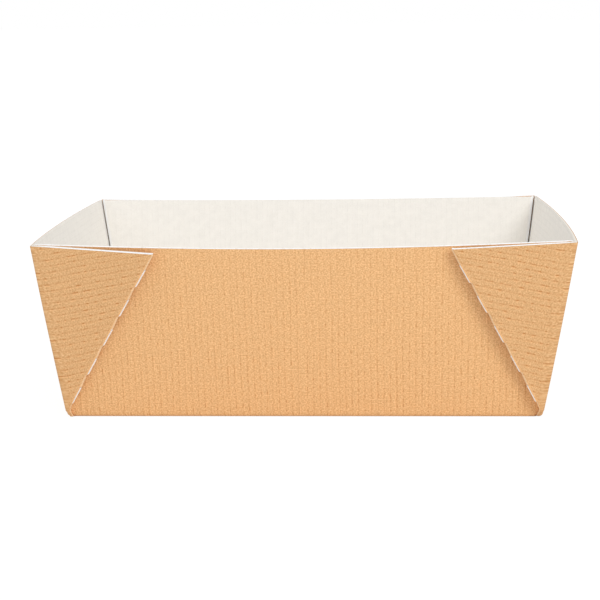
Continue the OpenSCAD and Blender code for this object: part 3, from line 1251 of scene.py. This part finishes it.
@dataclass(frozen=True)
class View:
    """The photograph's camera: place in millimetres, angles in degrees, lens in millimetres."""

    place: tuple[float, float, float] = (31.816, -583.164, 151.471)
    yaw: float = -3.567
    pitch: float = 11.313
    roll: float = -0.967
    lens: float = 84.0

    def build(self) -> bpy.types.Object:
        """Makes the camera and sets it as the scene's own.

        Returns:
            The camera.
        """
        yaw, pitch, roll = (math.radians(a) for a in (self.yaw, self.pitch, self.roll))
        ahead = Vector(
            (math.sin(yaw) * math.cos(pitch), math.cos(yaw) * math.cos(pitch), -math.sin(pitch))
        )
        right = Vector((math.cos(yaw), -math.sin(yaw), 0.0))
        up = right.cross(ahead)
        right, up = (
            math.cos(roll) * right + math.sin(roll) * up,
            math.cos(roll) * up - math.sin(roll) * right,
        )
        camera = bpy.data.objects.new("camera", bpy.data.cameras.new("camera"))
        camera.data.lens = self.lens
        camera.data.sensor_width = 36.0
        camera.data.clip_start = 0.01
        turn = Matrix((right, up, -ahead)).transposed()
        camera.matrix_world = Matrix.Translation(Vector(self.place) * MM) @ turn.to_4x4()
        bpy.context.scene.collection.objects.link(camera)
        bpy.context.scene.camera = camera
        return camera


@dataclass(frozen=True)
class Lamp:
    """A soft area lamp aimed at a point, with sizes and places in metres."""

    name: str
    place: tuple[float, float, float]
    target: tuple[float, float, float]
    size: float
    power: float

    def build(self) -> bpy.types.Object:
        """Makes the lamp.

        Returns:
            The lamp.
        """
        data = bpy.data.lights.new(self.name, "AREA")
        data.shape = "DISK"
        data.size = self.size
        data.energy = self.power
        lamp = bpy.data.objects.new(self.name, data)
        lamp.location = self.place
        aim = Vector(self.target) - Vector(self.place)
        lamp.rotation_euler = aim.to_track_quat("-Z", "Y").to_euler()
        bpy.context.scene.collection.objects.link(lamp)
        return lamp


@dataclass
class Studio:
    """Pale floor, soft lamps, white surroundings and the camera.

    Args:
        view: The camera.
        ambient: Strength of the light from all round.
        table_r: Radius of the table in metres.
        table_albedo: Grey value of the table.
        table_glow: Strength of the white that the camera sees on it.
        table_glow_share: Share of that white, the rest being the lit table and the shadow.
        lamps: The area lamps.
    """

    view: View = field(default_factory=View)
    ambient: float = 0.66
    table_r: float = 40.0
    table_albedo: float = 0.9
    table_glow: float = 1.08
    table_glow_share: float = 0.86
    lamps: tuple[Lamp, ...] = (
        Lamp("key_lamp", (0.8, -1.3, 1.1), (0.0, 0.0, 0.03), 0.8, 12.7),
        Lamp("fill_lamp", (-1.3, -0.5, 1.2), (0.0, 0.0, 0.03), 1.2, 4.3),
    )

    def surroundings(self) -> None:
        """Makes the world white for the camera and softly bright for everything else."""
        world = bpy.data.worlds.new("surroundings")
        world.use_nodes = True
        tree = world.node_tree
        tree.nodes.clear()
        path = tree.nodes.new("ShaderNodeLightPath")
        seen = tree.nodes.new("ShaderNodeMath")
        seen.operation = "MAXIMUM"
        tree.links.new(path.outputs["Is Camera Ray"], seen.inputs[0])
        tree.links.new(path.outputs["Is Transmission Ray"], seen.inputs[1])
        any_seen = tree.nodes.new("ShaderNodeMath")
        any_seen.operation = "MAXIMUM"
        tree.links.new(seen.outputs[0], any_seen.inputs[0])
        tree.links.new(path.outputs["Is Glossy Ray"], any_seen.inputs[1])
        soft = tree.nodes.new("ShaderNodeBackground")
        soft.inputs["Color"].default_value = (1.0, 1.0, 1.0, 1.0)
        soft.inputs["Strength"].default_value = self.ambient
        white = tree.nodes.new("ShaderNodeBackground")
        white.inputs["Color"].default_value = (1.0, 1.0, 1.0, 1.0)
        white.inputs["Strength"].default_value = 1.0
        mix = tree.nodes.new("ShaderNodeMixShader")
        tree.links.new(any_seen.outputs[0], mix.inputs[0])
        tree.links.new(soft.outputs[0], mix.inputs[1])
        tree.links.new(white.outputs[0], mix.inputs[2])
        output = tree.nodes.new("ShaderNodeOutputWorld")
        tree.links.new(mix.outputs[0], output.inputs["Surface"])
        bpy.context.scene.world = world

    def table(self) -> bpy.types.Object:
        """Makes the pale floor, which is white to the camera except in the box's shadow.

        Returns:
            The floor.
        """
        bm = bmesh.new()
        bmesh.ops.create_circle(bm, cap_ends=True, segments=64, radius=self.table_r)
        mesh = bpy.data.meshes.new("table")
        bm.to_mesh(mesh)
        bm.free()
        board = NodeBoard("table_white")
        board.shader.inputs["Base Color"].default_value = (*[self.table_albedo] * 3, 1.0)
        board.shader.inputs["Roughness"].default_value = 0.9
        glow = board.add("ShaderNodeEmission")
        glow.inputs["Strength"].default_value = self.table_glow
        path = board.add("ShaderNodeLightPath")
        share = board.math("MULTIPLY", path.outputs["Is Camera Ray"], self.table_glow_share)
        mix = board.add("ShaderNodeMixShader")
        board.join(share, mix.inputs[0])
        board.join(board.shader.outputs["BSDF"], mix.inputs[1])
        board.join(glow.outputs[0], mix.inputs[2])
        board.join(mix.outputs[0], board.output.inputs["Surface"])
        mesh.materials.append(board.material)
        table = bpy.data.objects.new("table", mesh)
        bpy.context.scene.collection.objects.link(table)
        return table

    def build(self) -> None:
        """Sets up the whole studio."""
        bpy.context.scene.view_settings.view_transform = "Standard"
        self.surroundings()
        self.table()
        for lamp in self.lamps:
            lamp.build()
        self.view.build()


def main() -> None:
    """Builds the studio and the dressed box in order."""
    logging.basicConfig(level=logging.INFO, format="%(name)s: %(message)s")
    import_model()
    Studio().build()
    blank = FoldedBlank()
    pitch = blank.fold.sizes.flute_pitch
    finishes = [PaperMaterial(finish, pitch).build() for finish in (WHITE, KRAFT)]
    finishes.append(CutEdgeMaterial().build())
    walls, floor = blank.dress(finishes)
    for piece in (walls, floor):
        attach(piece, "root")
    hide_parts("tray")


if __name__ == "__main__":
    main()
